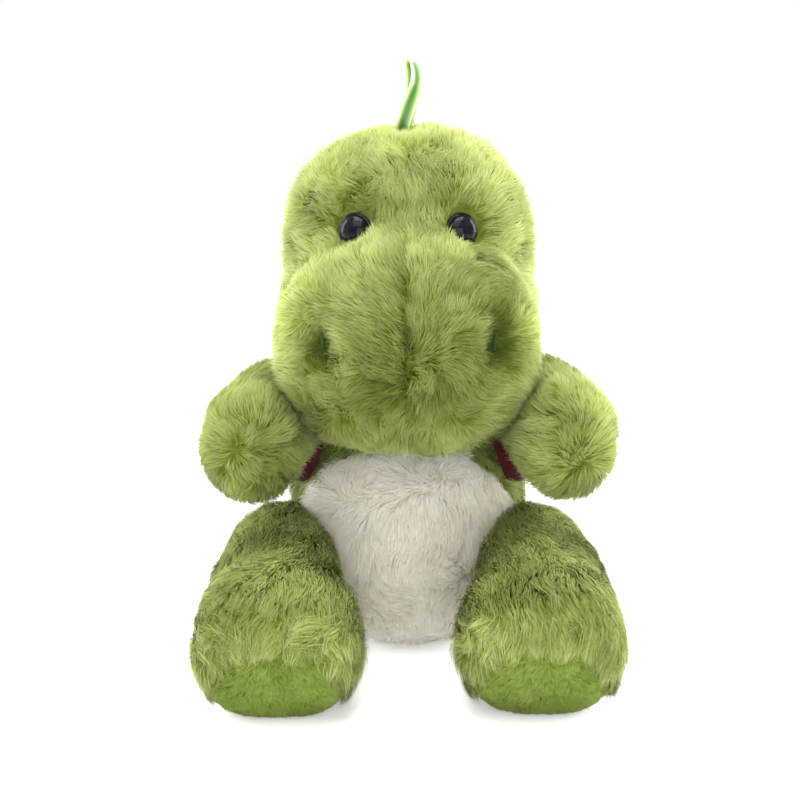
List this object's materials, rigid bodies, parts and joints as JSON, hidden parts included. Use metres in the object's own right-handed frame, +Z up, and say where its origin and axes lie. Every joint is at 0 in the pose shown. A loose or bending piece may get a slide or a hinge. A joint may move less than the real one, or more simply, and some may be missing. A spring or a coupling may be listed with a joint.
{
  "type": "stuffed dinosaur",
  "caption": "Sitting plush dinosaur with a large muzzle, cream belly, round paws, flat soles, short tail and a hanging loop on its head.",
  "frame": {"origin": "centre of the flat seat, on the surface the toy sits on", "axes": "+Z up through the head, the toy faces -Y, its own left side is +X"},
  "size_m": [0.1612, 0.1812, 0.2359],
  "materials": {
    "green_plush": "long soft pile, matt with a pale sheen",
    "sole_plush": "shorter, denser pile, matt",
    "cream_plush": "long soft pile, matt",
    "stuffing": "loose polyester fibre",
    "pouch": "plain woven cotton bag of plastic pellets",
    "maroon_webbing": "flat woven band, matt",
    "ribbon": "satin ribbon",
    "thread": "sewing thread",
    "eye_gloss": "polished black",
    "white_plastic": "moulded, satin"
  },
  "bodies": {
    "torso": {"torso_skin": "green_plush", "belly_panel": "cream_plush", "torso_stuffing": "stuffing", "pellet_pouch": "pouch", "shoulder_strap_left": "maroon_webbing", "shoulder_strap_right": "maroon_webbing", "strap_yoke": "maroon_webbing", "closing_thread": "thread"},
    "neck": {"neck_stuffing": "stuffing"},
    "head": {"crown_skin": "green_plush", "muzzle_left": "green_plush", "muzzle_right": "green_plush", "head_stuffing": "stuffing", "eye_left": "eye_gloss", "eye_right": "eye_gloss", "eye_washer_left": "white_plastic", "eye_washer_right": "white_plastic", "nostril_stitch_left": "thread", "nostril_stitch_right": "thread", "loop_anchor": "ribbon"},
    "loop": {"hang_loop": "ribbon"},
    "left_arm": {"arm_skin_left": "green_plush", "arm_stuffing_left": "stuffing"},
    "right_arm": {"arm_skin_right": "green_plush", "arm_stuffing_right": "stuffing"},
    "left_leg": {"leg_skin_left": "green_plush", "sole_left": "sole_plush", "leg_stuffing_left": "stuffing"},
    "right_leg": {"leg_skin_right": "green_plush", "sole_right": "sole_plush", "leg_stuffing_right": "stuffing"},
    "tail": {"tail_skin": "green_plush", "tail_stuffing": "stuffing"}
  },
  "joints": [
    {"name": "neck_turn", "type": "hinge", "parent": "torso", "child": "neck", "pos_m": [0, 0.004, 0.106], "axis": [0, 0, 1], "range_deg": [-6, 6], "stiffness_Nm_per_rad": 0.5},
    {"name": "head_nod", "type": "hinge", "parent": "neck", "child": "head", "pos_m": [0, 0.004, 0.106], "axis": [1, 0, 0], "range_deg": [-12, 3], "stiffness_Nm_per_rad": 0.8},
    {"name": "left_arm_swing", "type": "hinge", "parent": "torso", "child": "left_arm", "pos_m": [0.0375, 0.001, 0.083], "axis": [-0.7507, 0, 0.6606], "range_deg": [-8, 26], "stiffness_Nm_per_rad": 0.12},
    {"name": "right_arm_swing", "type": "hinge", "parent": "torso", "child": "right_arm", "pos_m": [-0.0375, 0.001, 0.083], "axis": [-0.7507, 0, -0.6606], "range_deg": [-8, 26], "stiffness_Nm_per_rad": 0.12},
    {"name": "left_leg_swing", "type": "hinge", "parent": "torso", "child": "left_leg", "pos_m": [0.031, -0.006, 0.032], "axis": [-0.4983, 0, 0.867], "range_deg": [0, 12], "stiffness_Nm_per_rad": 0.25},
    {"name": "right_leg_swing", "type": "hinge", "parent": "torso", "child": "right_leg", "pos_m": [-0.031, -0.006, 0.032], "axis": [-0.4983, 0, -0.867], "range_deg": [0, 12], "stiffness_Nm_per_rad": 0.25},
    {"name": "tail_wag", "type": "hinge", "parent": "torso", "child": "tail", "pos_m": [0, 0.036, 0.025], "axis": [0, 0, 1], "range_deg": [-15, 15], "stiffness_Nm_per_rad": 0.08},
    {"name": "loop_fold", "type": "hinge", "parent": "head", "child": "loop", "pos_m": [0, 0, 0.2086], "axis": [1, 0, 0], "range_deg": [-60, 60], "stiffness_Nm_per_rad": 0.002}
  ]
}
